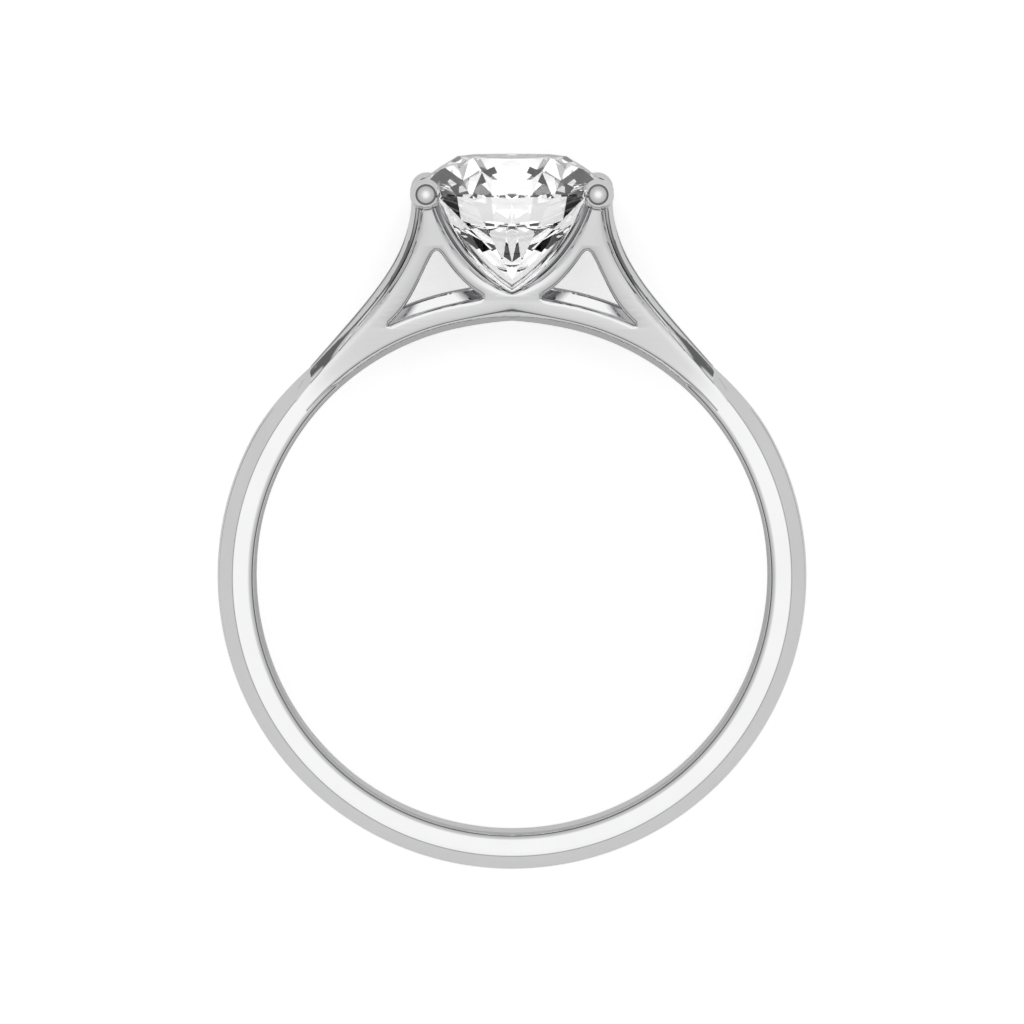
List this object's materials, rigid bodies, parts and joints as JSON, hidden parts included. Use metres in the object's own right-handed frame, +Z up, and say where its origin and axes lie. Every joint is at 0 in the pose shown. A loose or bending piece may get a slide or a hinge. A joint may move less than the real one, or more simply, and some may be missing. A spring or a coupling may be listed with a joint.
{
  "type": "solitaire ring",
  "caption": "Polished finger ring with split cathedral shoulders and a claw head that holds a round brilliant stone, lying on its side.",
  "frame": {"origin": "middle of the bounding box at floor level, with the ring lying on its side", "axes": "+Z up from the floor, +Y along the floor from the plain end of the band towards the stone, +X across"},
  "size_m": [0.019, 0.0232, 0.0065],
  "materials": {
    "white_metal": "polished",
    "clear_stone": "polished"
  },
  "bodies": {
    "root": {"mounting": "white_metal", "stone": "clear_stone"}
  },
  "joints": []
}
